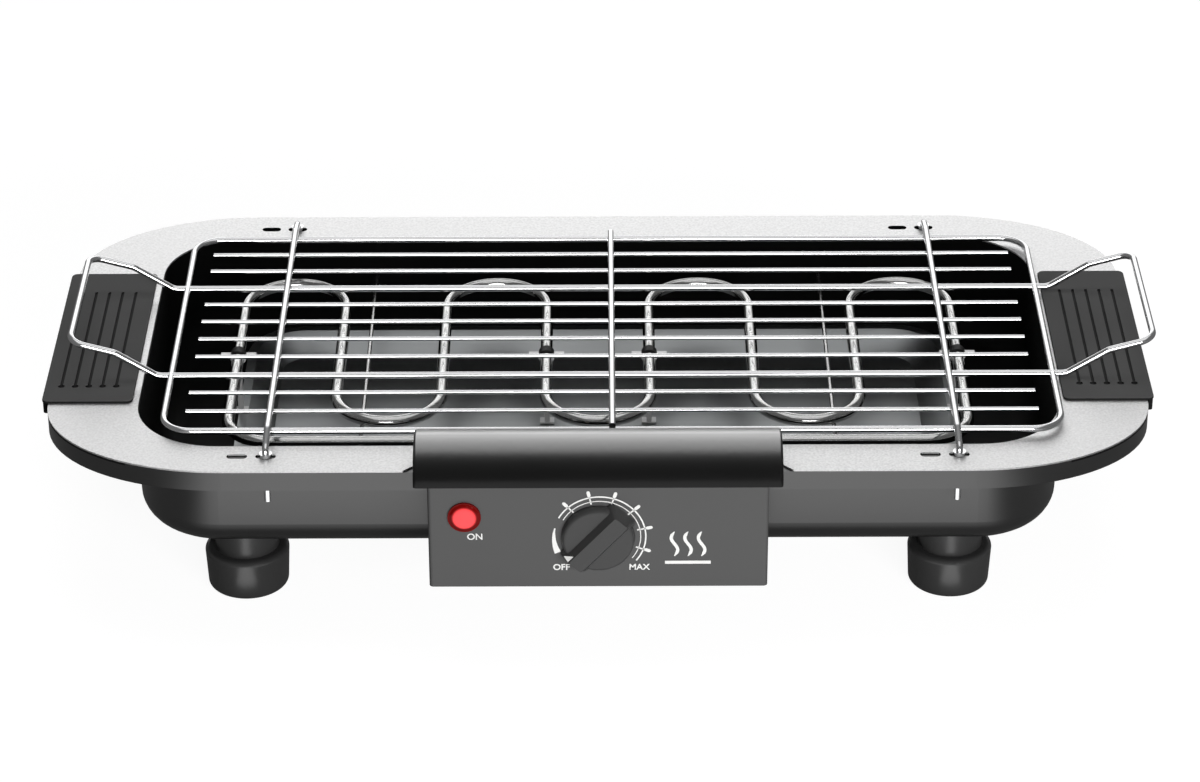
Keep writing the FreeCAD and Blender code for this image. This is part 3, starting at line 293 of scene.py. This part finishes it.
# stainless tube round the heater, annealed and pickled: pale satin grey
dress(workedMetal("annealedSheathTube", {
    "dark": "#c4c4c3", "light": "#d2d2d1", "cloudSize": 28.0,
    "markSize": 3.0, "stretch": (1.0, 0.2, 1.0), "markHeight": 0.02, "markDepth": 0.01,
    "roughness": (0.1, 0.14),
}), "heating_element", "element_pins")

# bright drawn steel rod: clean grey with lines along it
dress(workedMetal("brightDrawnSteel", {
    "dark": "#bdbdbc", "light": "#cbcbca", "cloudSize": 20.0,
    "markSize": 0.8, "stretch": (1.0, 0.1, 1.0), "markHeight": 0.01, "markDepth": 0.15,
    "roughness": (0.2, 0.32),
}), "support_wire_left", "support_wire_right", "thermostat_shaft")

# zinc plate on stamped steel: grey with a cool bloom and a dull gloss
dress(workedMetal("zincPlatedStamping", {
    "dark": "#aeb2b5", "light": "#c6c7c4", "cloudSize": 7.0,
    "markSize": 1.0, "stretch": (1.0, 1.0, 1.0), "markHeight": 0.02, "markDepth": 0.2,
    "roughness": (0.28, 0.42),
}), "hanger_hooks", "box_screws", "foot_screws", "handle_pad_screws", "thermostat_screws")

# steel strip, pressed and dulled by heat: pale grey with hardly a mirror left, black on the band over the
# tube
bandHeight = 3.2  # of the band over the tube, above the wings
dress(workedMetal("heatDulledStrip", {
    "band": "#161616", "bandFrom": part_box("element_supports")[1].z - bandHeight * mm,
    "dark": "#d4d4d4", "light": "#dedede", "cloudSize": 6.0, "metallic": 0.2,
    "markSize": 1.0, "stretch": (1.0, 1.0, 1.0), "markHeight": 0.02, "markDepth": 0.15,
    "roughness": (0.45, 0.6),
}), "element_supports")

# phenolic resin, moulded with a matt grain so that the grips stay dry: dull charcoal, with painted shade
# black in the grooves
dress(mouldedPlastic("mouldedGripPhenolic", {
    "dark": "#4a4a4a", "light": "#525252", "cloudSize": 30.0, "grainSize": 0.9, "mirror": 0.12,
    "grainHeight": 0.04, "grainDepth": 0.35, "roughness": (0.55, 0.66), "ior": 1.5,
    # painted shade in the grooves
    "groove": "#1c1c1c", "grooveTop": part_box("left_handle_pad")[1].z, "grooveDepths": (0.1, 0.35),
}), "left_handle_pad", "right_handle_pad")

# polypropylene, moulded in a polished tool: black with a soft gloss
dress(mouldedPlastic("mouldedFootPolypropylene", {
    "dark": "#2a2a2a", "light": "#303030", "cloudSize": 18.0, "grainSize": 1.6, "mirror": 0.8,
    "grainHeight": 0.02, "grainDepth": 0.1, "roughness": (0.3, 0.36), "ior": 1.5,
}), "foot_front_left", "foot_front_right", "foot_back_left", "foot_back_right")

# ABS, moulded and sprayed with a satin grey: even and flat, a trace of spray grain
dress(mouldedPlastic("sprayedBoxABS", {
    "dark": "#4a4a4a", "light": "#4f4f4f", "cloudSize": 40.0, "grainSize": 0.8, "mirror": 0.4,
    "grainHeight": 0.02, "grainDepth": 0.2, "roughness": (0.46, 0.54), "ior": 1.5,
}), "control_box_shell", "control_box_back")

# ABS, moulded in a polished tool: deep black that mirrors the light above it as a soft band
dress(mouldedPlastic("polishedHoodABS", {
    "dark": "#0d0d0d", "light": "#111111", "cloudSize": 40.0, "grainSize": 2.0, "mirror": 0.15,
    "grainHeight": 0.02, "grainDepth": 0.06, "roughness": (0.3, 0.36), "ior": 1.54,
}), "control_hood")

# nylon with glass fibre, moulded: dark grey and silky
dress(mouldedPlastic("mouldedKnobNylon", {
    "dark": "#323232", "light": "#393939", "cloudSize": 14.0, "grainSize": 0.8, "mirror": 0.4,
    "grainHeight": 0.02, "grainDepth": 0.2, "roughness": (0.42, 0.5), "ior": 1.53,
}), "thermostat_knob")

# phenolic resin, moulded round contacts: brown black
dress(mouldedPlastic("mouldedBrownPhenolic", {
    "dark": "#2a1f18", "light": "#382a20", "cloudSize": 8.0, "grainSize": 0.9,
    "grainHeight": 0.03, "grainDepth": 0.3, "roughness": (0.42, 0.55), "ior": 1.6,
}), "thermostat_body", "safety_switch", "terminal_block")

# natural nylon, turned or moulded: warm white
dress(mouldedPlastic("naturalNylon", {
    "dark": "#d9d6cb", "light": "#e6e3da", "cloudSize": 6.0, "grainSize": 0.8,
    "grainHeight": 0.02, "grainDepth": 0.2, "roughness": (0.38, 0.48), "ior": 1.53,
}), "safety_plunger", "indicator_body")

# steatite, pressed and fired: chalky cream
dress(mouldedPlastic("firedSteatite", {
    "dark": "#d8d0bd", "light": "#e6dfd0", "cloudSize": 4.0, "grainSize": 0.7,
    "grainHeight": 0.03, "grainDepth": 0.3, "roughness": (0.55, 0.7), "ior": 1.6,
}), "element_ferrules")

# rubber, moulded: black and dull
dress(mouldedPlastic("mouldedGlandRubber", {
    "dark": "#1b1b1b", "light": "#232323", "cloudSize": 8.0, "grainSize": 0.9,
    "grainHeight": 0.03, "grainDepth": 0.3, "roughness": (0.6, 0.72), "ior": 1.52,
}), "cord_gland")

# silicone rubber, extruded over stranded wire: off white with a waxy sheen
dress(mouldedPlastic("extrudedSiliconeCover", {
    "dark": "#cfcabd", "light": "#ded9cd", "cloudSize": 9.0, "grainSize": 1.0,
    "grainHeight": 0.02, "grainDepth": 0.2, "roughness": (0.4, 0.5), "ior": 1.43,
}), "internal_wires")

# polycarbonate, moulded clear red over a glow lamp: bright in the middle, deep red round the rim
lens = {"glow": "#ff6769", "middle": "#e0242a", "rim": "#6a0806", "glowStart": 6.0, "glowFull": 4.4,
        "glowStrength": 0.66, "roughness": 0.12, "ior": 1.585, "mirror": 0.05}


def redPolycarbonate():
    finish, tree = startFinish("mouldedRedPolycarbonate")
    low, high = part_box("indicator_lens")
    place = addNode(tree, "ShaderNodeTexCoord").outputs["Object"]
    axis = ((low.x + high.x) / 2, 0.0, (low.z + high.z) / 2)
    offset = addNode(tree, "ShaderNodeVectorMath", {"operation": "SUBTRACT", 1: axis}, {0: place})
    across = addNode(tree, "ShaderNodeVectorMath", {"operation": "MULTIPLY", 1: (1.0, 0.0, 1.0)},
                     {0: offset.outputs[0]})
    radius = addNode(tree, "ShaderNodeVectorMath", {"operation": "LENGTH"}, {0: across.outputs[0]})
    share = addNode(tree, "ShaderNodeMapRange",
                    {"interpolation_type": "SMOOTHSTEP", "From Min": lens["glowStart"] * mm,
                     "From Max": lens["glowFull"] * mm},
                    {"Value": radius.outputs["Value"]})
    colour = addNode(tree, "ShaderNodeMix",
                     {"data_type": "RGBA", 6: linear(lens["rim"]), 7: linear(lens["middle"])},
                     {0: share.outputs[0]})
    glow = addNode(tree, "ShaderNodeMapRange", {"To Max": lens["glowStrength"]},
                   {"Value": share.outputs[0]})
    shader = addNode(tree, "ShaderNodeBsdfPrincipled",
                     {"Roughness": lens["roughness"], "IOR": lens["ior"],
                      "Specular IOR Level": lens["mirror"], "Emission Color": linear(lens["glow"])},
                     {"Base Color": colour.outputs[2], "Emission Strength": glow.outputs[0]})
    addNode(tree, "ShaderNodeOutputMaterial", links={"Surface": shader.outputs[0]})
    return finish


dress(redPolycarbonate(), "indicator_lens")
print("finishes on all", len(nodes), "pieces")

# screen printing ink: thick flat white, slightly uneven at its edges
ink = mouldedPlastic("screenPrintedInk", {
    "dark": "#e9e9e7", "light": "#f6f6f4", "cloudSize": 3.0, "grainSize": 0.5,
    "grainHeight": 0.01, "grainDepth": 0.2, "roughness": (0.5, 0.6), "ior": 1.5,
})
inkLayer = {"thickness": 0.12, "sink": 0.02, "letterSteps": 4}

bodyLow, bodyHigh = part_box("thermostat_body")
lensLow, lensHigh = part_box("indicator_lens")
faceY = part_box("control_box_shell")[0].y
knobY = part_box("thermostat_knob")[0].y
dialX = (bodyLow.x + bodyHigh.x) / 2  # the knob turns in the middle of the thermostat
dialZ = (bodyLow.z + bodyHigh.z) / 2
lampX = (lensLow.x + lensHigh.x) / 2
lampZ = (lensLow.z + lensHigh.z) / 2


def facePoint(x, z, depth):
    return Vector((dialX + x * mm, faceY + depth * mm, dialZ + z * mm))


def inkStroke(builder, points, halfWidths):
    # a ribbon of ink on the face, along points measured from the dial's middle
    rings = []
    for i, (x, z) in enumerate(points):
        before = points[max(i - 1, 0)]
        after = points[min(i + 1, len(points) - 1)]
        heading = Vector((after[0] - before[0], after[1] - before[1])).normalized()
        sideX, sideZ = -heading.y * halfWidths[i], heading.x * halfWidths[i]
        corners = [(x + sideX, z + sideZ, -inkLayer["thickness"]),
                   (x - sideX, z - sideZ, -inkLayer["thickness"]),
                   (x - sideX, z - sideZ, inkLayer["sink"]),
                   (x + sideX, z + sideZ, inkLayer["sink"])]
        rings.append([builder.verts.new(facePoint(*corner)) for corner in corners])
    for first, second in zip(rings, rings[1:]):
        for k in range(4):
            builder.faces.new((first[k], first[(k + 1) % 4], second[(k + 1) % 4], second[k]))
    builder.faces.new(rings[0][::-1])
    builder.faces.new(rings[-1])


def placeInk(name, mesh, body):
    mesh.materials.append(ink)
    piece = bpy.data.objects.new(name, mesh)
    scene.collection.objects.link(piece)
    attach(piece, body)


def inkPiece(name, builder, body="heater_unit"):
    bmesh.ops.recalc_face_normals(builder, faces=builder.faces)
    mesh = bpy.data.meshes.new(name)
    builder.to_mesh(mesh)
    builder.free()
    placeInk(name, mesh, body)


def polar(radius, degrees):
    turn = math.radians(degrees)
    return (dial["shift"] + radius * math.cos(turn), radius * math.sin(turn))


# the heat scale round the knob
dial = {
    "shift": 0.6, "arcRadii": (21.1, 18.8), "arcHalfWidths": (0.34, 0.2), "arcFrom": 152.0,
    "arcTo": -37.5, "arcSteps": 62,
    "tickFrom": 132.7, "tickStep": -30.26, "tickCount": 6,
    "tickInner": 17.5, "tickNeck": 21.4, "tickOuter": 24.7, "tickThin": 0.36, "tickThick": 0.8,
    "tickRound": 0.3, "tickShoulder": 0.75, "tickTip": 0.2,  # shares of the thick end
    "wedgeFrom": 167.5, "wedgeTo": 204.0, "wedgeRadius": 20.9, "wedgeHalfWidth": 1.5,
    "wedgeTip": 0.3, "wedgeSteps": 12,
}
scale = bmesh.new()
for radius, halfWidth in zip(dial["arcRadii"], dial["arcHalfWidths"]):
    sweep = dial["arcTo"] - dial["arcFrom"]
    turns = [dial["arcFrom"] + sweep * i / dial["arcSteps"] for i in range(dial["arcSteps"] + 1)]
    inkStroke(scale, [polar(radius, turn) for turn in turns], [halfWidth] * len(turns))
for i in range(dial["tickCount"]):
    turn = dial["tickFrom"] + i * dial["tickStep"]
    cap = dial["tickThick"]
    reaches = [dial["tickInner"], dial["tickNeck"], dial["tickNeck"] + cap,
               dial["tickOuter"] - cap, dial["tickOuter"] - dial["tickRound"] * cap, dial["tickOuter"]]
    widths = [dial["tickThin"], dial["tickThin"], cap, cap, dial["tickShoulder"] * cap,
              dial["tickTip"] * cap]
    inkStroke(scale, [polar(reach, turn) for reach in reaches], widths)
wedgeTurn = (dial["wedgeTo"] - dial["wedgeFrom"]) / dial["wedgeSteps"]
wedgeTurns = [dial["wedgeFrom"] + wedgeTurn * i for i in range(dial["wedgeSteps"] + 1)]
wedgeGrowth = (dial["wedgeHalfWidth"] - dial["wedgeTip"]) / dial["wedgeSteps"]
wedgeWidths = [dial["wedgeTip"] + wedgeGrowth * i for i in range(len(wedgeTurns))]
inkStroke(scale, [polar(dial["wedgeRadius"], turn) for turn in wedgeTurns], wedgeWidths)
inkPiece("dialScale", scale)

# a small mark on the flank of the knob's bar, at the end that points; along and across the bar
knobMark = {
    "turn": 228.0, "corners": ((16.0, 4.3), (12.2, 4.3), (16.0, 6.9)),
    "topWidth": 3.75, "footWidth": 7.75, "barHeight": 3.8, "thickness": 0.1, "sink": 0.1,
}
ahead = Vector((math.cos(math.radians(knobMark["turn"])), 0, math.sin(math.radians(knobMark["turn"]))))
aside = Vector((ahead.z, 0, -ahead.x))
flankRun = knobMark["footWidth"] - knobMark["topWidth"]
flankOut = (aside * knobMark["barHeight"] - Vector((0, 1, 0)) * flankRun).normalized()
mark = bmesh.new()
layers = []
for lift in (knobMark["thickness"], -knobMark["sink"]):
    layer = []
    for along, across in knobMark["corners"]:
        drop = (across - knobMark["topWidth"]) / flankRun * knobMark["barHeight"]
        spot = ahead * along + aside * across + flankOut * lift
        layer.append(mark.verts.new(Vector((dialX, knobY + drop * mm, dialZ)) + spot * mm))
    layers.append(layer)
mark.faces.new(layers[0])
mark.faces.new(layers[1][::-1])
for k in range(3):
    mark.faces.new((layers[0][k], layers[1][k], layers[1][(k + 1) % 3], layers[0][(k + 1) % 3]))
inkPiece("knobMark", mark, "knob")

# a plain heat sign on the free side of the face
heatSign = {
    "x": 41.0, "low": -10.5, "waveHeight": 13.0, "waveSway": 1.5, "waveSpacing": 6.2, "waveCount": 3,
    "waveHalfWidth": 0.75, "waveTip": 0.25, "waveTaper": 6, "waveSteps": 24,
    "barDrop": 3.4, "barHalfLength": 10.5, "barHalfWidth": 0.8,
}
sign = bmesh.new()
for i in range(heatSign["waveCount"]):
    middle = heatSign["x"] + (i - (heatSign["waveCount"] - 1) / 2) * heatSign["waveSpacing"]
    path = []
    widths = []
    for k in range(heatSign["waveSteps"] + 1):
        share = k / heatSign["waveSteps"]
        sway = heatSign["waveSway"] * math.sin(share * 2 * math.pi)
        path.append((middle + sway, heatSign["low"] + share * heatSign["waveHeight"]))
        taper = heatSign["waveTip"] + heatSign["waveTaper"] * min(share, 1 - share)
        widths.append(heatSign["waveHalfWidth"] * min(1.0, taper))
    inkStroke(sign, path, widths)
barZ = heatSign["low"] - heatSign["barDrop"]
inkStroke(sign, [(heatSign["x"] - heatSign["barHalfLength"], barZ),
                 (heatSign["x"] + heatSign["barHalfLength"], barZ)], [heatSign["barHalfWidth"]] * 2)
inkPiece("heatSign", sign)


def inkLetters(name, words, left, baseline, size, weight):
    # letters are measured from the dial's middle too
    curve = bpy.data.curves.new(name, "FONT")
    curve.body = words
    curve.size = size * mm
    curve.offset = weight * mm
    curve.extrude = (inkLayer["thickness"] + inkLayer["sink"]) / 2 * mm
    curve.resolution_u = inkLayer["letterSteps"]
    holder = bpy.data.objects.new(name + "Curve", curve)
    scene.collection.objects.link(holder)
    mesh = bpy.data.meshes.new_from_object(holder)
    bpy.data.objects.remove(holder)
    middle = (inkLayer["sink"] - inkLayer["thickness"]) / 2
    upright = Matrix.Rotation(math.pi / 2, 4, "X")
    mesh.transform(Matrix.Translation(facePoint(left, baseline, middle)) @ upright)
    mesh.name = name
    mesh.materials.clear()
    placeInk(name, mesh, "heater_unit")


letters = {
    "offLetters": {"words": "OFF", "left": -20.8, "baseline": -17.8, "size": 4.4, "weight": 0.1},
    "maxLetters": {"words": "MAX", "left": 14.0, "baseline": -17.8, "size": 4.4, "weight": 0.1},
    "lampLetters": {"words": "ON", "left": (lampX - dialX) / mm + 1.0,
                    "baseline": (lampZ - dialZ) / mm - 12.2, "size": 4.6, "weight": 0.06},
}
for name, choice in letters.items():
    inkLetters(name, **choice)
print("printing on the face done")

# white table that runs off behind the grill; it stays white and keeps the grill's shadow
# for mirrored rays a dark cloth lies at each side and under the grill, and white card in front
table = {"colour": "#707070", "glow": 0.93, "halfSize": 6000.0, "cardGlow": 1.5,
         "cardHalfWidth": 235.0, "cardBack": -160.0, "cardSoftness": 45.0, "clothGlow": 0.05, "drop": 0.05}


def paleTable():
    finish, tree = startFinish("paleTable")
    path = addNode(tree, "ShaderNodeLightPath")
    mirrored = addNode(tree, "ShaderNodeMath", {"operation": "MAXIMUM"},
                       {0: path.outputs["Is Glossy Ray"], 1: path.outputs["Is Transmission Ray"]})
    place = addNode(tree, "ShaderNodeSeparateXYZ",
                    links={0: addNode(tree, "ShaderNodeTexCoord").outputs["Object"]})
    side = addNode(tree, "ShaderNodeMath", {"operation": "ABSOLUTE"}, {0: place.outputs["X"]})
    soft = table["cardSoftness"]
    across = addNode(tree, "ShaderNodeMapRange",
                     {"interpolation_type": "SMOOTHSTEP",
                      "From Min": (table["cardHalfWidth"] + soft) * mm,
                      "From Max": (table["cardHalfWidth"] - soft) * mm}, {"Value": side.outputs[0]})
    ahead = addNode(tree, "ShaderNodeMapRange",
                    {"interpolation_type": "SMOOTHSTEP", "From Min": (table["cardBack"] + soft) * mm,
                     "From Max": (table["cardBack"] - soft) * mm}, {"Value": place.outputs["Y"]})
    card = addNode(tree, "ShaderNodeMath", {"operation": "MULTIPLY"},
                   {0: across.outputs[0], 1: ahead.outputs[0]})
    reflected = addNode(tree, "ShaderNodeMapRange",
                        {"To Min": table["clothGlow"], "To Max": table["cardGlow"]},
                        {"Value": card.outputs[0]})
    reflected = addNode(tree, "ShaderNodeMath", {"operation": "MULTIPLY"},
                        {0: reflected.outputs[0], 1: mirrored.outputs[0]})
    board = addNode(tree, "ShaderNodeBsdfDiffuse", {"Color": linear(table["colour"])})
    strength = addNode(tree, "ShaderNodeMix", {"data_type": "FLOAT", 3: table["glow"]},
                       {0: path.outputs["Is Camera Ray"], 2: reflected.outputs[0]})
    glow = addNode(tree, "ShaderNodeEmission", {"Color": linear("#ffffff")},
                   {"Strength": strength.outputs[0]})
    both = addNode(tree, "ShaderNodeAddShader", links={0: board.outputs[0], 1: glow.outputs[0]})
    addNode(tree, "ShaderNodeOutputMaterial", links={"Surface": both.outputs[0]})
    return finish


half = table["halfSize"] * mm
floorMesh = bpy.data.meshes.new("floor")
floorMesh.from_pydata([(-half, -half, 0), (half, -half, 0), (half, half, 0), (-half, half, 0)], [],
                      [(0, 1, 2, 3)])
floorMesh.materials.append(paleTable())
floor = bpy.data.objects.new("floor", floorMesh)
floor.location.z = cadLow.z - table["drop"] * mm
scene.collection.objects.link(floor)

# studio: a white wall behind the grill, darker at its sides and behind the camera, dim for plain light
studio = {"back": 1.6, "front": 0.16, "fill": 0.12, "turnFrom": 0.6, "turnTo": 0.9,
          "sideFrom": 0.5, "sideTo": 0.28}
world = bpy.data.worlds.new("studio")
world.use_nodes = True
tree = world.node_tree
tree.nodes.clear()
path = addNode(tree, "ShaderNodeLightPath")
heading = addNode(tree, "ShaderNodeSeparateXYZ",
                  links={0: addNode(tree, "ShaderNodeTexCoord").outputs["Generated"]})
behind = addNode(tree, "ShaderNodeMapRange",
                 {"interpolation_type": "SMOOTHSTEP", "From Min": studio["turnFrom"],
                  "From Max": studio["turnTo"]}, {"Value": heading.outputs["Y"]})
sideways = addNode(tree, "ShaderNodeMath", {"operation": "ABSOLUTE"}, {0: heading.outputs["X"]})
between = addNode(tree, "ShaderNodeMapRange",
                  {"interpolation_type": "SMOOTHSTEP", "From Min": studio["sideFrom"],
                   "From Max": studio["sideTo"]}, {"Value": sideways.outputs[0]})
lit = addNode(tree, "ShaderNodeMath", {"operation": "MULTIPLY"},
              {0: behind.outputs[0], 1: between.outputs[0]})
wall = addNode(tree, "ShaderNodeMapRange", {"To Min": studio["front"], "To Max": studio["back"]},
               {"Value": lit.outputs[0]})
mirrored = addNode(tree, "ShaderNodeMath", {"operation": "MAXIMUM"},
                   {0: path.outputs["Is Glossy Ray"], 1: path.outputs["Is Transmission Ray"]})
strength = addNode(tree, "ShaderNodeMix", {"data_type": "FLOAT", 2: studio["fill"]},
                   {0: mirrored.outputs[0], 3: wall.outputs[0]})
strength = addNode(tree, "ShaderNodeMix", {"data_type": "FLOAT", 3: 1.0},
                   {0: path.outputs["Is Camera Ray"], 2: strength.outputs[0]})
air = addNode(tree, "ShaderNodeBackground", {"Color": linear("#ffffff")},
              {"Strength": strength.outputs[0]})
addNode(tree, "ShaderNodeOutputWorld", links={"Surface": air.outputs[0]})
scene.world = world

# softboxes, in millimetres; those with pieces are flagged so that only these take their shine
wires = [name for name in nodes if name.startswith(("grid_", "support_wire"))]
lamps = {
    "topSoftbox": {"place": (0, 300, 1700), "size": (1400, 1000), "watts": 10.0, "mirrored": False},
    "frontSoftbox": {"place": (600, -1680, 520), "size": (1100, 600), "watts": 35.0, "mirrored": False},
    "wireStrip": {"place": (0, -1500, 420), "size": (1000, 650), "watts": 21.0, "mirrored": True,
                  "pieces": wires + ["heating_element"]},
    "leftFootCard": {"place": (-168.9, -122, 1), "aim": (-168.9, -122, 100), "size": (22, 60),
                     "watts": 0.006, "mirrored": True, "pieces": ["foot_front_left"]},
    "rightFootCard": {"place": (166.3, -122, 1), "aim": (166.3, -122, 100), "size": (22, 60),
                      "watts": 0.006, "mirrored": True, "pieces": ["foot_front_right"]},
    "hoodStrip": {"place": (0, 1000, 1250), "size": (1600, 1900), "watts": 125.0, "mirrored": True,
                  "pieces": ["control_hood"]},
    "plateStrip": {"place": (0, 1500, 950), "size": (2200, 900), "watts": 8.2, "mirrored": True,
                   "pieces": ["top_plate"]},
    "plateFront": {"place": (0, -1500, 950), "size": (2200, 900), "watts": 6.0, "mirrored": True,
                   "pieces": ["top_plate"]},
    "trayTop": {"place": (0, 350, 1800), "size": (1500, 700), "watts": 3.4, "mirrored": True,
                "pieces": ["reflector_tray", "element_supports"]},
    "clipFill": {"place": (0, -900, 1300), "size": (900, 500), "watts": 9.0, "mirrored": False,
                 "pieces": ["element_supports"]},
    "wireTop": {"place": (0, 0, 2000), "size": (1800, 2400), "watts": 10.5, "mirrored": True,
                "pieces": wires + ["heating_element"]},
}
for name, choice in lamps.items():
    light = bpy.data.lights.new(name, "AREA")
    light.shape = "RECTANGLE"
    light.size, light.size_y = [side * mm for side in choice["size"]]
    light.energy = choice["watts"]
    lamp = bpy.data.objects.new(name, light)
    lamp.location = [value * mm for value in choice["place"]]
    aim = Vector(choice.get("aim", (0, 0, 0))) * mm
    lamp.rotation_euler = (lamp.location - aim).to_track_quat("Z", "Y").to_euler()
    lamp.visible_glossy = choice["mirrored"]
    lamp.visible_camera = False
    if "pieces" in choice:
        lit = bpy.data.collections.new(name + "Pieces")
        for piece in choice["pieces"]:
            lit.objects.link(nodes[piece])
        lamp.light_linking.receiver_collection = lit
    scene.collection.objects.link(lamp)

# long lens, a little under 30 degrees above the table
shot = {"place": (-0.325, -1670.5, 1011.6), "tilt": 60.5246, "roll": -0.183, "lens": 118.56,
        "sensor": 36.0, "farthest": 20000.0}
view = bpy.data.cameras.new("view")
view.lens = shot["lens"]
view.sensor_width = shot["sensor"]
view.sensor_fit = "HORIZONTAL"
view.clip_end = shot["farthest"] * mm
camera = bpy.data.objects.new("camera", view)
camera.location = [value * mm for value in shot["place"]]
camera.rotation_mode = "ZYX"  # the roll is about the line of sight
camera.rotation_euler = (math.radians(shot["tilt"]), 0.0, math.radians(shot["roll"]))
scene.collection.objects.link(camera)
scene.camera = camera
scene.view_settings.view_transform = "Standard"
print("studio ready")
